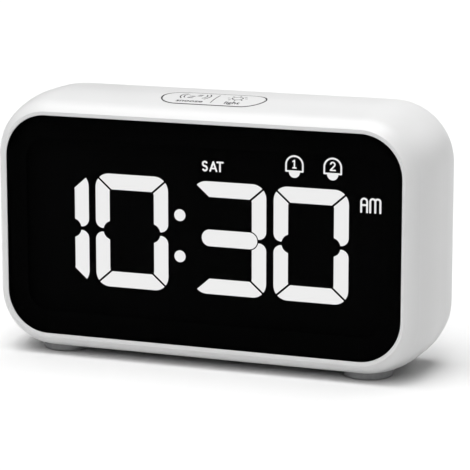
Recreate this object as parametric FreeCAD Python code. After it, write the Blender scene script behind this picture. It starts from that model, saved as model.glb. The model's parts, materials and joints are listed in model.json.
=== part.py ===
import FreeCAD, Part
import math
import os

# Digital alarm clock in a rounded, crowned plastic shell, in millimetres.
# The frame: +X to the right seen from the front, +Y to the back, +Z up. The origin is on the
# surface that the feet stand on, under the middle of the body.
# Below, a place is given as (x, depth, rise): depth counts back from the flat front rim and rise
# counts up from the body's mid-height.

Vector = FreeCAD.Vector

# ---- driving dimensions: shell -------------------------------------------------------------------
BODY_WIDTH = 135.0
BODY_HEIGHT = 78.2
BODY_DEPTH = 37.5
CORNER_RADIUS = 18.63
CROWN_RADIUS = 50.0
CROWN_SWEEP = math.radians(15.8)
SHOULDER_RADIUS = 8.3
SHOULDER_END = math.radians(54.35)
REAR_SWEEP = math.radians(9.3)
REAR_RADIUS = 5.25
WALL = 2.0
SKIN_INSET = 0.6
FOOT_STANDOFF = 0.5
SKIN_GAP = 0.1
RIB_HALF = 0.8

# ---- driving dimensions: window and display stack ------------------------------------------------
LENS_HALF_X = 61.45
LENS_HALF_Z = 32.8
LENS_CORNER = 12.6
LENS_THICK = 1.2
LENS_GAP = 0.08
MASK_THICK = 0.05
EDGE_PRINT = 0.04
LENS_CHAMFER = 0.12
TAPE_THICK = 0.2
LEDGE_THICK = 1.15
WINDOW_HALF_X = 56.8
WINDOW_HALF_Z = 27.4
WINDOW_CORNER = 7.6
MASK_OVERLAP = 1.4
RIM_ROUND = 0.3
LIT_THICK = 0.05
FILM_THICK = 0.2
CELL_HALF_X = 57.8
CELL_HALF_Z = 28.6
CELL_THICK = 2.2
GUIDE_HALF_X = 55.8
GUIDE_LOW = -24.8
GUIDE_HIGH = 28.1
GUIDE_THICK = 2.4
BOARD_THICK = 1.2
STACK_GAP = 0.05
FRAME_LIP = 0.9
POST_X = 40.0
POST_Z = 32.6
POST_RADIUS = 2.2
EAR_HALF_X = 3.4
STRIP_LOW = -28.0
STRIP_HIGH = -26.0

# ---- driving dimensions: screws, as head radius, head height, shank radius, shank length ---------
SMALL_SCREW = (1.9, 1.2, 0.9, 6.0)
COVER_SCREW = (2.4, 1.7, 1.15, 9.0)
SMALL_PILOT = 0.95
SMALL_CLEAR = 1.15
COVER_PILOT = 1.2
COVER_CLEAR = 1.45

# ---- driving dimensions: digits ------------------------------------------------------------------
DIGIT_HALF_X = 11.37
DIGIT_HALF_Z = 16.65
BAR_FLAT = 4.57
BAR_UPRIGHT = 4.42
BAR_GAP = 0.6
MITRE_SHARE_X = 0.68
MITRE_SHARE_Z = 0.69
WAIST_GAP = 0.54
DIGIT_CORNER = 4.2
WAIST_CORNER = 2.3
MITRE_DEGREES = 41.0
MIDDLE_HALF_LENGTH = 8.62
MIDDLE_RADIUS = 2.46
DIGIT_RISE = -0.6
HOUR_SCALE = 1.018
COLON_RADIUS = 1.75

# ---- driving dimensions: snooze key --------------------------------------------------------------
SNOOZE_DEPTH = 12.5
SNOOZE_HALF_X = 15.8
SNOOZE_HALF_Y = 6.0
SNOOZE_GAP = 0.4
SNOOZE_PROUD = 0.12
LINER_THICK = 0.28
LINER_PROUD = 0.1
LINER_FIT = 0.01
SNOOZE_FLANGE = 1.1
SNOOZE_TRAVEL = 0.8
SNOOZE_STEM_LOW = 33.4
SNOOZE_POST_X = 20.0
SWITCH_DEPTH = 14.8
SWITCH_HALF = 3.1
SWITCH_TALL = 3.5
SWITCH_FLOOR = 0.8
PLUNGER_SPARE = 0.5
PLUNGER_RADIUS = 1.7
PLUNGER_BORE = 1.75
SNOOZE_BOARD_TOP = 28.9
SNOOZE_BOARD_THICK = 1.0

# ---- driving dimensions: back --------------------------------------------------------------------
COVER_HALF_X = 60.25
COVER_HALF_Z = 31.85
COVER_CORNER = 11.45
COVER_THICK = 2.0
COVER_GAP = 0.15
COVER_SCREW_X = 53.5
COVER_SCREW_Z = 25.5
COVER_BOSS_RADIUS = 3.0
COVER_BOSS_FRONT = 14.0
COVER_RIB_FRONT = 16.0
CUP_DEPTH = 4.2
SCREW_WELL_DEPTH = 2.4
SCREW_WELL_RADIUS = 2.75
KEY_RISE = 20.0
KEY_PITCH = 14.0
KEY_HALF_X = 4.6
KEY_HALF_Z = 2.9
KEY_GAP = 0.15
KEY_TRAVEL = 0.5
KEY_PROUD = 1.0
KEY_FLANGE = 0.9
KEY_TRAY = 1.2
KEY_STEM_DEPTH = 5.6
KEY_NAMES = ["key_alarm_2", "key_alarm_1", "key_mode", "key_up", "key_down"]
KEY_POST_X = 37.0
KEY_BOARD_HALF_X = 39.6
KEY_BOARD_BACK = 10.0
KEY_BOARD_THICK = 1.0
BAY_HALF_X = 25.4
BAY_LOW = -29.0
BAY_HIGH = 4.6
BAY_FLOOR = 24.3
BAY_WALL = 1.2
DOOR_THICK = 1.6
DOOR_GAP = 0.15
LATCH_HALF_X = 6.0
LATCH_HALF_Z = 2.95
HINGE_TAB_X = 16.0
HINGE_TAB_HALF = 3.0
CELL_RADIUS = 5.25
CELL_LENGTH = 43.4
NUB_LENGTH = 1.1
NUB_RADIUS = 1.9
CELL_PITCH = 11.1
CONTACT_THICK = 0.4
CONTACT_HALF = 4.4
SPRING_WIRE = 0.3
SPRING_TURNS = 3
SPRING_WIDE = 3.9
SPRING_NARROW = 2.6
BUZZER_X = 42.0
BUZZER_RISE = -12.0
BUZZER_RADIUS = 10.0
BUZZER_TALL = 4.3
BUZZER_SEAT = 0.3
GRILLE_RADIUS = 8.6
GRILLE_PITCH = 2.6
LEAD_RADIUS = 0.6
RIBBON_HALF_THICK = 0.2

# ---- driving dimensions: feet --------------------------------------------------------------------
FRONT_FOOT = {"x": 48.0, "depth": 12.8, "radius": 7.3}
REAR_FOOT = {"x": 46.0, "depth": 29.3, "radius": 4.8}
FOOT_TOP = 2.6
FOOT_GAP = 0.08
FOOT_ROUND = 0.7
FOOT_SEAT_RIM = 1.4
FOOT_SEAT_THICK = 1.6

# ---- worked out from the above -------------------------------------------------------------------
HALF_X = BODY_WIDTH / 2
HALF_Z = BODY_HEIGHT / 2
MID_Z = FOOT_STANDOFF + HALF_Z
FLAT_X = HALF_X - CORNER_RADIUS
FLAT_Z = HALF_Z - CORNER_RADIUS
FRONT_WIDEST = (CROWN_RADIUS * math.sin(CROWN_SWEEP)
                + SHOULDER_RADIUS * (math.sin(SHOULDER_END) - math.sin(CROWN_SWEEP)))
REAR_WIDEST = (BODY_DEPTH - REAR_RADIUS * (1 - math.sin(REAR_SWEEP))
               - CROWN_RADIUS * math.sin(REAR_SWEEP))
LENS_BACK = LENS_THICK
MASK_BACK = LENS_BACK + MASK_THICK
LEDGE_FRONT = MASK_BACK + TAPE_THICK
LEDGE_BACK = LEDGE_FRONT + LEDGE_THICK
CELL_FRONT = LEDGE_BACK + LIT_THICK + FILM_THICK
CELL_BACK = CELL_FRONT + CELL_THICK
DIFFUSER_FRONT = CELL_BACK + FILM_THICK + STACK_GAP
GUIDE_FRONT = DIFFUSER_FRONT + FILM_THICK + STACK_GAP
GUIDE_BACK = GUIDE_FRONT + GUIDE_THICK
REFLECTOR_BACK = GUIDE_BACK + FILM_THICK
LIP_FRONT = REFLECTOR_BACK + STACK_GAP
BOARD_FRONT = LIP_FRONT + FRAME_LIP
BOARD_BACK = BOARD_FRONT + BOARD_THICK
COVER_FRONT = BODY_DEPTH - COVER_THICK
CUP_FRONT = BODY_DEPTH - CUP_DEPTH
SCREW_SEAT = BODY_DEPTH - SCREW_WELL_DEPTH
SNOOZE_BOARD_LOW = SNOOZE_BOARD_TOP - SNOOZE_BOARD_THICK
BUZZER_FRONT = COVER_FRONT - BUZZER_SEAT - BUZZER_TALL
KEY_BACK = BODY_DEPTH - KEY_TRAY + KEY_PROUD
BAY_MIDDLE = (BAY_LOW + BAY_HIGH) / 2
BAY_HALF_Z = (BAY_HIGH - BAY_LOW) / 2
DOOR_FRONT = BODY_DEPTH - DOOR_THICK
CELL_DEPTH = BAY_FLOOR + 0.15 + CELL_RADIUS
NUB_TIP = BAY_HALF_X - CONTACT_THICK


# ---- helpers -------------------------------------------------------------------------------------
def at(x, depth, rise):
    return Vector(x, depth - BODY_DEPTH / 2, MID_Z + rise)


def block(x0, x1, d0, d1, z0, z1):
    return Part.makeBox(x1 - x0, d1 - d0, z1 - z0, at(x0, d0, z0))


def rod_y(x, rise, radius, d0, d1):
    return Part.makeCylinder(radius, d1 - d0, at(x, d0, rise), Vector(0, 1, 0))


def rod_z(x, depth, radius, z0, z1):
    return Part.makeCylinder(radius, z1 - z0, at(x, depth, z0), Vector(0, 0, 1))


def rod_x(depth, rise, radius, x0, x1):
    return Part.makeCylinder(radius, x1 - x0, at(x0, depth, rise), Vector(1, 0, 0))


def rounded_face(centre, along_a, along_b, half_a, half_b, corner):
    """A flat face with four round corners, in the plane of along_a and along_b."""
    flat_a = half_a - corner
    flat_b = half_b - corner
    middle = corner * math.sqrt(0.5)
    edges = []
    turns = ((1, 1), (-1, 1), (-1, -1), (1, -1))
    for index, (sign_a, sign_b) in enumerate(turns):
        hub = centre + along_a * (sign_a * flat_a) + along_b * (sign_b * flat_b)
        side = hub + along_a * (sign_a * corner)
        cap = hub + along_b * (sign_b * corner)
        knee = hub + along_a * (sign_a * middle) + along_b * (sign_b * middle)
        first, last = (side, cap) if index % 2 == 0 else (cap, side)
        edges.append(Part.Arc(first, knee, last).toShape())
    joined = []
    for index, edge in enumerate(edges):
        joined.append(edge)
        start = edge.valueAt(edge.LastParameter)
        following = edges[(index + 1) % 4]
        end = following.valueAt(following.FirstParameter)
        if start.distanceToPoint(end) > 1e-6:
            joined.append(Part.LineSegment(start, end).toShape())
    return Part.Face(Part.Wire(Part.__sortEdges__(joined)))


def plate(half_x, half_z, corner, d0, d1, x=0.0, rise=0.0):
    """A plate facing the front, with round corners."""
    face = rounded_face(at(x, d0, rise), Vector(1, 0, 0), Vector(0, 0, 1), half_x, half_z, corner)
    return face.extrude(Vector(0, d1 - d0, 0))


def pill_z(half_x, half_y, depth, z0, z1):
    """An upright column with a pill-shaped section, centred on x = 0."""
    corner = min(half_x, half_y) - 0.001
    face = rounded_face(at(0, depth, z0), Vector(1, 0, 0), Vector(0, 1, 0), half_x, half_y, corner)
    return face.extrude(Vector(0, 0, z1 - z0))


def ring_plate(outer, inner, d0, d1):
    """The flat ring between two rounded outlines, each given as half width, half height, corner."""
    return plate(*outer, d0, d1).cut(plate(*inner, d0 - 1, d1 + 1))


def join(shapes):
    first = shapes[0]
    return first.multiFuse(shapes[1:]).removeSplitter() if len(shapes) > 1 else first


def group(shapes):
    return Part.makeCompound(shapes)


# ---- the crowned shell form ----------------------------------------------------------------------
def profile_face(inset, corner_x, corner_z, outward):
    """Half section of the body from a corner's axis outwards, shrunk all round by inset."""

    def place(reach, depth):
        return at(corner_x, depth, corner_z) + outward * reach

    def on_arc(hub_reach, hub_depth, radius, angle, side):
        return place(hub_reach + radius * math.cos(angle), hub_depth + side * radius * math.sin(angle))

    crown_hub = CORNER_RADIUS - CROWN_RADIUS
    spread = CROWN_RADIUS - SHOULDER_RADIUS
    shoulder_hub = crown_hub + spread * math.cos(CROWN_SWEEP)
    shoulder_depth = FRONT_WIDEST - spread * math.sin(CROWN_SWEEP)
    rear_spread = CROWN_RADIUS - REAR_RADIUS
    rear_hub = crown_hub + rear_spread * math.cos(REAR_SWEEP)
    rear_depth = REAR_WIDEST + rear_spread * math.sin(REAR_SWEEP)
    arcs = [
        (shoulder_hub, shoulder_depth, SHOULDER_RADIUS - inset, SHOULDER_END, CROWN_SWEEP, -1),
        (crown_hub, FRONT_WIDEST, CROWN_RADIUS - inset, CROWN_SWEEP, 0.0, -1),
        (crown_hub, REAR_WIDEST, CROWN_RADIUS - inset, 0.0, REAR_SWEEP, 1),
        (rear_hub, rear_depth, REAR_RADIUS - inset, REAR_SWEEP, math.pi / 2, 1),
    ]
    edges = []
    ends = []
    for hub, depth, radius, start, stop, side in arcs:
        first = on_arc(hub, depth, radius, start, side)
        knee = on_arc(hub, depth, radius, (start + stop) / 2, side)
        last = on_arc(hub, depth, radius, stop, side)
        if ends and ends[-1].distanceToPoint(first) > 1e-6:
            edges.append(Part.LineSegment(ends[-1], first).toShape())
        edges.append(Part.Arc(first, knee, last).toShape())
        ends += [first, last]
    front, back = ends[0], ends[-1]
    axis_back = Vector(at(corner_x, 0, corner_z).x, back.y, at(corner_x, 0, corner_z).z)
    axis_front = Vector(axis_back.x, front.y, axis_back.z)
    edges.append(Part.LineSegment(back, axis_back).toShape())
    edges.append(Part.LineSegment(axis_back, axis_front).toShape())
    edges.append(Part.LineSegment(axis_front, front).toShape())
    return Part.Face(Part.Wire(edges)), front.y, back.y


def bulge(inset):
    """The body's outer form, shrunk all round by inset: flat front and back, crowned sides."""
    x_dir, z_dir = Vector(1, 0, 0), Vector(0, 0, 1)
    corners = [
        (FLAT_X, FLAT_Z, x_dir, z_dir * (-2 * FLAT_Z)),
        (-FLAT_X, FLAT_Z, z_dir, x_dir * (2 * FLAT_X)),
        (-FLAT_X, -FLAT_Z, x_dir * -1, z_dir * (2 * FLAT_Z)),
        (FLAT_X, -FLAT_Z, z_dir * -1, x_dir * (-2 * FLAT_X)),
    ]
    pieces = []
    for corner_x, corner_z, outward, run in corners:
        face, front_y, back_y = profile_face(inset, corner_x, corner_z, outward)
        pieces.append(face.extrude(run))
        pieces.append(face.revolve(at(corner_x, 0, corner_z), Vector(0, -1, 0), 90))
    core = Part.makeBox(2 * FLAT_X, back_y - front_y, 2 * FLAT_Z,
                        Vector(-FLAT_X, front_y, MID_Z - FLAT_Z))
    return join([core] + pieces)


# ---- housing -------------------------------------------------------------------------------------
def lens_opening():
    return (LENS_HALF_X + LENS_GAP, LENS_HALF_Z + LENS_GAP, LENS_CORNER + LENS_GAP)


def cover_bosses(skin):
    """Four screw bosses for the rear cover, each tied to the shell by two ribs."""
    shapes = []
    for side in (-1, 1):
        for level in (-1, 1):
            x, rise = side * COVER_SCREW_X, level * COVER_SCREW_Z
            shapes.append(rod_y(x, rise, COVER_BOSS_RADIUS, COVER_BOSS_FRONT, CUP_FRONT))
            x0, x1 = sorted((x, side * HALF_X))
            across = block(x0, x1, COVER_RIB_FRONT, CUP_FRONT, rise - RIB_HALF, rise + RIB_HALF)
            z0, z1 = sorted((rise, level * HALF_Z))
            upright = block(x - RIB_HALF, x + RIB_HALF, COVER_RIB_FRONT, CUP_FRONT, z0, z1)
            shapes += [across.common(skin), upright.common(skin)]
    return shapes


def display_posts(skin):
    """Four posts behind the front ledge that carry the LCD frame and the main board."""
    shapes = []
    for side in (-1, 1):
        for level in (-1, 1):
            x, rise = side * POST_X, level * POST_Z
            shapes.append(rod_y(x, rise, POST_RADIUS, LEDGE_FRONT + 0.4, LIP_FRONT))
            z0, z1 = sorted((rise, level * HALF_Z))
            web = block(x - RIB_HALF, x + RIB_HALF, LEDGE_FRONT + 0.6, LIP_FRONT - 1.0, z0, z1)
            shapes.append(web.common(skin))
    return shapes


def snooze_posts(skin):
    return [rod_z(side * SNOOZE_POST_X, SWITCH_DEPTH, POST_RADIUS, SNOOZE_BOARD_TOP, HALF_Z).common(skin)
            for side in (-1, 1)]


def foot_places():
    for foot in (FRONT_FOOT, REAR_FOOT):
        for side in (-1, 1):
            yield side * foot["x"], foot["depth"], foot["radius"]


def foot_seats(skin):
    """Round pads inside the floor, above the recesses that hold the feet."""
    low = FOOT_TOP - MID_Z
    return [rod_z(x, depth, radius + FOOT_SEAT_RIM, low, low + FOOT_SEAT_THICK).common(skin)
            for x, depth, radius in foot_places()]


def lens_rim(shell):
    """The edges of the lens opening in the flat front rim."""
    front_y = at(0, 0, 0).y
    reach_x, reach_z = LENS_HALF_X + 0.5, LENS_HALF_Z + 0.5
    return [edge for edge in shell.Edges
            if edge.BoundBox.YMax < front_y + 0.001
            and max(edge.BoundBox.XMax, -edge.BoundBox.XMin) < reach_x
            and max(edge.BoundBox.ZMax - MID_Z, MID_Z - edge.BoundBox.ZMin) < reach_z]


def housing_openings():
    cutters = [plate(COVER_HALF_X + COVER_GAP, COVER_HALF_Z + COVER_GAP, COVER_CORNER + COVER_GAP,
                     CUP_FRONT, BODY_DEPTH + 1)]
    cutters.append(pill_z(SNOOZE_HALF_X + SNOOZE_GAP, SNOOZE_HALF_Y + SNOOZE_GAP, SNOOZE_DEPTH,
                          30, HALF_Z + 1))
    for x, depth, radius in foot_places():
        cutters.append(rod_z(x, depth, radius + FOOT_GAP, -HALF_Z - 1, FOOT_TOP - MID_Z))
    for side in (-1, 1):
        cutters.append(rod_z(side * SNOOZE_POST_X, SWITCH_DEPTH, SMALL_PILOT, 28, 34.5))
        for level in (-1, 1):
            cutters.append(rod_y(side * COVER_SCREW_X, level * COVER_SCREW_Z, COVER_PILOT, 22.0, BODY_DEPTH))
            cutters.append(rod_y(side * POST_X, level * POST_Z, SMALL_PILOT, LEDGE_BACK + 1.0, BOARD_BACK))
    return group(cutters)


def make_housing():
    skin = bulge(SKIN_INSET)
    cavity = bulge(WALL).common(block(-HALF_X, HALF_X, LEDGE_BACK, BODY_DEPTH, -HALF_Z, HALF_Z))
    shell = bulge(0.0).cut(cavity)
    shell = shell.cut(plate(*lens_opening(), -1, LEDGE_FRONT))
    shell = shell.cut(plate(WINDOW_HALF_X, WINDOW_HALF_Z, WINDOW_CORNER, -1, LEDGE_BACK + 1))
    shell = shell.makeFillet(RIM_ROUND, lens_rim(shell))
    inside = cover_bosses(skin) + display_posts(skin) + snooze_posts(skin) + foot_seats(skin)
    return join([shell] + inside).cut(housing_openings())


# ---- window --------------------------------------------------------------------------------------
def make_lens():
    lens = plate(LENS_HALF_X, LENS_HALF_Z, LENS_CORNER, 0, LENS_THICK)
    front_y = at(0, 0, 0).y
    edges = [edge for edge in lens.Edges if edge.BoundBox.YMax < front_y + 0.001]
    return lens.makeChamfer(LENS_CHAMFER, edges)


def make_lens_border():
    """Black print round the back of the lens and over its edge."""
    lens = (LENS_HALF_X, LENS_HALF_Z, LENS_CORNER)
    outline = tuple(size + EDGE_PRINT for size in lens)
    inner = (WINDOW_HALF_X - MASK_OVERLAP, WINDOW_HALF_Z - MASK_OVERLAP, WINDOW_CORNER - MASK_OVERLAP)
    return join([ring_plate(outline, inner, LENS_BACK, MASK_BACK),
                 ring_plate(outline, lens, LENS_CHAMFER, LENS_BACK)])


def make_lens_tape():
    return ring_plate((LENS_HALF_X - 0.4, LENS_HALF_Z - 0.4, LENS_CORNER - 0.4),
                      (WINDOW_HALF_X + 0.6, WINDOW_HALF_Z + 0.6, WINDOW_CORNER + 0.6),
                      MASK_BACK, LEDGE_FRONT)


# ---- lit marks on the LCD ------------------------------------------------------------------------
def lit_plate(half_x, half_z, corner, x, rise):
    return plate(half_x, half_z, corner, LEDGE_BACK, LEDGE_BACK + LIT_THICK, x, rise)


def lit_disc(x, rise, radius):
    return rod_y(x, rise, radius, LEDGE_BACK, LEDGE_BACK + LIT_THICK)


def slanted_bar(x, rise, length, width, degrees):
    """A straight thin bar centred on a point, turned in the display's plane."""
    bar = block(x - length / 2, x + length / 2, LEDGE_BACK, LEDGE_BACK + LIT_THICK,
                rise - width / 2, rise + width / 2)
    return bar.rotate(at(x, LEDGE_BACK, rise), Vector(0, -1, 0), degrees)


def digit(x, rise, scale, lit):
    """The lit segments of one seven-segment digit, named a to g as usual."""
    half_x, half_z = DIGIT_HALF_X * scale, DIGIT_HALF_Z * scale
    flat, upright = BAR_FLAT * scale, BAR_UPRIGHT * scale
    corner, radius = DIGIT_CORNER * scale, MIDDLE_RADIUS * scale
    end_x = (MIDDLE_HALF_LENGTH - MIDDLE_RADIUS) * scale
    outline = lit_plate(half_x, half_z, corner, x, rise)
    hollow = lit_plate(half_x - upright, half_z - flat, 0.8, x, rise)
    split = WAIST_GAP * scale
    tall = half_z + 10
    halves = [lit_plate(half_x, (tall - split) / 2, WAIST_CORNER * scale, x,
                        rise + side * (tall + split) / 2) for side in (-1, 1)]
    body = outline.common(join(halves)).cut(hollow)
    cutters = [lit_disc(x + side * end_x, rise, radius + 0.34) for side in (-1, 1)]
    mitre_x, mitre_z = half_x - upright * MITRE_SHARE_X, half_z - flat * MITRE_SHARE_Z
    for side in (-1, 1):
        for level in (-1, 1):
            cutters.append(slanted_bar(x + side * mitre_x, rise + level * mitre_z, 12.0, BAR_GAP,
                                       side * level * MITRE_DEGREES))
    pieces = body.cut(group(cutters)).Solids
    middle = lit_plate(MIDDLE_HALF_LENGTH * scale, radius, radius - 0.001, x, rise)
    chosen = []
    for piece in pieces:
        spot = piece.CenterOfMass - at(x, LEDGE_BACK, rise)
        if abs(spot.x) < 1.0:
            name = "a" if spot.z > 0 else "d"
        elif spot.x > 0:
            name = "b" if spot.z > 0 else "c"
        else:
            name = "f" if spot.z > 0 else "e"
        if name in lit:
            chosen.append(piece)
    if "g" in lit:
        chosen.append(middle)
    return chosen


def make_lit_digits():
    """The time 10:30. The hour's digits are slightly larger than the minutes'."""
    rows = [(-47.5, HOUR_SCALE, "bc"), (-22.1, HOUR_SCALE, "abcdef"), (8.7, 1.0, "abcdg"),
            (33.7, 1.0, "abcdef")]
    shapes = []
    for x, scale, lit in rows:
        shapes += digit(x, DIGIT_RISE, scale, lit)
    return group(shapes)


def make_lit_colon():
    return group([lit_disc(-6.81, rise, COLON_RADIUS) for rise in (5.47, -6.75)])


def stroke(start, end, width):
    """A straight stroke with round ends, between two (x, rise) points."""
    span = math.hypot(end[0] - start[0], end[1] - start[1])
    angle = math.degrees(math.atan2(end[1] - start[1], end[0] - start[0]))
    bar = slanted_bar((start[0] + end[0]) / 2, (start[1] + end[1]) / 2, span, width, angle)
    return join([bar] + [lit_disc(x, rise, width / 2) for x, rise in (start, end)])


def bow(x, rise, radius, start, stop, width):
    """A stroke along a circle's arc, from start to stop degrees, with round ends."""
    origin, up = Vector(0, 0, 0), Vector(0, 0, 1)
    sweep = Part.makeCylinder(radius + width / 2, LIT_THICK, origin, up, stop - start)
    sweep = sweep.cut(Part.makeCylinder(radius - width / 2, 3, Vector(0, 0, -1)))
    sweep.rotate(origin, up, start)
    sweep.rotate(origin, Vector(1, 0, 0), 90)
    sweep.translate(at(x, LEDGE_BACK + LIT_THICK, rise))
    ends = []
    for turn in (math.radians(start), math.radians(stop)):
        ends.append(lit_disc(x + radius * math.cos(turn), rise + radius * math.sin(turn), width / 2))
    return join([sweep] + ends)


def make_lit_weekday():
    """The three letters SAT."""
    low, high, width = 19.15, 21.75, 0.52
    middle = (low + high) / 2
    curl = (high - low) / 4
    letter_s = join([bow(1.1, middle + curl, curl, 35, 260, width),
                     bow(1.1, middle - curl, curl, -145, 80, width),
                     stroke((1.0, middle + 0.1), (1.25, middle - 0.1), width)])
    letter_a = join([stroke((2.75, low), (3.72, high), width), stroke((3.72, high), (4.69, low), width),
                     stroke((3.05, low + 0.75), (4.39, low + 0.75), width * 0.9)])
    letter_t = join([stroke((4.95, high), (6.65, high), width), stroke((5.8, low), (5.8, high), width)])
    return group([letter_s, letter_a, letter_t])


def bell(x, low):
    """A bell: a domed outline on a base line, with a half-round clapper below."""
    radius, width, base = 2.54, 0.48, low + 1.95
    dome_centre = base + 1.85
    dome = bow(x, dome_centre, radius, 0, 180, width)
    walls = [stroke((x + side * radius, base), (x + side * radius, dome_centre), width)
             for side in (-1, 1)]
    foot = stroke((x - radius, base), (x + radius, base), width)
    clapper = lit_disc(x, base - 0.2, 1.68).common(
        block(x - 3, x + 3, LEDGE_BACK - 1, LEDGE_BACK + 1, low - 2, base - 0.2))
    return join([dome, foot, clapper] + walls)


def make_lit_bells():
    """Two bells, one with the figure 1 in its dome and one with the figure 2."""
    low = 18.65
    first, second = 28.6, 40.14
    one = join([stroke((first, low + 2.95), (first, low + 5.1), 0.42),
                stroke((first - 0.5, low + 2.95), (first + 0.5, low + 2.95), 0.36),
                stroke((first - 0.5, low + 4.75), (first, low + 5.1), 0.36)])
    two = join([bow(second, low + 4.6, 0.62, -35, 165, 0.42),
                stroke((second + 0.5, low + 4.24), (second - 0.7, low + 2.95), 0.42),
                stroke((second - 0.7, low + 2.95), (second + 0.75, low + 2.95), 0.4)])
    return group([bell(first, low), one, bell(second, low), two])


def make_lit_am():
    """The letters AM in round-topped strokes."""
    left, low, width = 48.72, 10.25, 0.56
    high = low + 3.85
    reach = 0.88
    arch = join([bow(left + reach, high - reach, reach, 0, 180, width),
                 stroke((left, low), (left, high - reach), width),
                 stroke((left + 2 * reach, low), (left + 2 * reach, high - reach), width),
                 stroke((left, low + 2.0), (left + 2 * reach, low + 2.0), width)])
    start = left + 2.68
    hump = 0.75
    second = [stroke((start + step * 2 * hump, low), (start + step * 2 * hump, high - hump), width)
              for step in range(3)]
    second += [bow(start + hump + step * 2 * hump, high - hump, hump, 0, 180, width) for step in range(2)]
    return group([arch, join(second)])


# ---- LCD stack -----------------------------------------------------------------------------------
def make_front_polariser():
    front = LEDGE_BACK + LIT_THICK
    return plate(CELL_HALF_X - 0.1, CELL_HALF_Z - 0.1, 0.4, front, front + FILM_THICK)


def make_lcd_cell():
    return plate(CELL_HALF_X, CELL_HALF_Z, 0.4, CELL_FRONT, CELL_BACK)


def stack_sheet(half_x, low, high, d0, d1):
    return plate(half_x, (high - low) / 2, 0.5, d0, d1, 0, (high + low) / 2)


def make_rear_polariser():
    return stack_sheet(CELL_HALF_X - 0.2, -25.2, CELL_HALF_Z - 0.2, CELL_BACK, CELL_BACK + FILM_THICK)


def make_diffuser():
    return stack_sheet(GUIDE_HALF_X, GUIDE_LOW, GUIDE_HIGH, DIFFUSER_FRONT, DIFFUSER_FRONT + FILM_THICK)


def make_light_guide():
    return stack_sheet(GUIDE_HALF_X, GUIDE_LOW, GUIDE_HIGH, GUIDE_FRONT, GUIDE_BACK)


def make_reflector():
    return stack_sheet(GUIDE_HALF_X, GUIDE_LOW, GUIDE_HIGH, GUIDE_BACK, REFLECTOR_BACK)


def make_backlight_leds():
    leds = []
    for side in (-1, 1):
        for rise in (-12.0, 10.0):
            x0, x1 = sorted((side * (GUIDE_HALF_X + 0.1), side * (GUIDE_HALF_X + 1.3)))
            leds.append(block(x0, x1, GUIDE_FRONT + 0.4, GUIDE_BACK - 0.4, rise - 1.75, rise + 1.75))
    return group(leds)


def post_holes(front, back):
    """Screw clearance holes in line with the four display posts."""
    return group([rod_y(side * POST_X, level * POST_Z, SMALL_CLEAR, front - 1, back + 1)
                  for side in (-1, 1) for level in (-1, 1)])


def make_lcd_frame():
    """Ring that holds the cell and the light guide, with a lip behind and four screw ears."""
    front, back = LEDGE_BACK + LIT_THICK, BOARD_FRONT
    ring = plate(60.4, 30.2, 5.0, front, back)
    ring = ring.cut(plate(CELL_HALF_X + 0.15, CELL_HALF_Z + 0.15, 0.4, front - 1, LIP_FRONT))
    ring = ring.cut(plate(53.0, 22.5, 2.0, front, back + 1, 0, 1.5))
    ring = ring.cut(block(-44, 44, front, back + 1, STRIP_LOW - 0.3, STRIP_HIGH + 0.3))
    ears = [plate(EAR_HALF_X, 2.6, 1.5, LIP_FRONT, back, side * POST_X, level * (POST_Z - 0.4))
            for side in (-1, 1) for level in (-1, 1)]
    return join([ring] + ears).cut(post_holes(LIP_FRONT, back))


def make_contact_strip():
    return block(-43.5, 43.5, CELL_BACK, BOARD_FRONT, STRIP_LOW, STRIP_HIGH)


# ---- main board ----------------------------------------------------------------------------------
def make_main_board():
    board = plate(50.0, 29.5, 2.0, BOARD_FRONT, BOARD_BACK)
    ears = [plate(EAR_HALF_X, 3.2, 1.5, BOARD_FRONT, BOARD_BACK, side * POST_X, level * (POST_Z - 1.2))
            for side in (-1, 1) for level in (-1, 1)]
    return join([board] + ears).cut(post_holes(BOARD_FRONT, BOARD_BACK))


def make_controller_chip():
    """A square package with nine legs along each side."""
    x, rise, half = -12.0, 6.0, 6.0
    leg_length, leg_half, leg_pitch = 1.3, 0.22, 1.2
    foot, top = BOARD_BACK, BOARD_BACK + 0.3
    body = block(x - half, x + half, BOARD_BACK + 0.15, BOARD_BACK + 1.6, rise - half, rise + half)
    legs = []
    for step in range(-4, 5):
        leg_x, leg_z = x + step * leg_pitch, rise + step * leg_pitch
        for side in (-1, 1):
            x0, x1 = sorted((x + side * half, x + side * (half + leg_length)))
            legs.append(block(x0, x1, foot, top, leg_z - leg_half, leg_z + leg_half))
            z0, z1 = sorted((rise + side * half, rise + side * (half + leg_length)))
            legs.append(block(leg_x - leg_half, leg_x + leg_half, foot, top, z0, z1))
    return group([body] + legs)


def make_crystal():
    return rod_x(BOARD_BACK + 1.5, -6.0, 1.5, 12.0, 20.0)


def make_capacitors():
    shapes = []
    for x in (26.0, 34.0):
        can = rod_y(x, 12.0, 2.5, BOARD_BACK, BOARD_BACK + 5.4)
        rim = [edge for edge in can.Edges if edge.BoundBox.YMin > at(0, BOARD_BACK + 5.3, 0).y]
        shapes.append(can.makeFillet(0.4, rim))
    return group(shapes)


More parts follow.
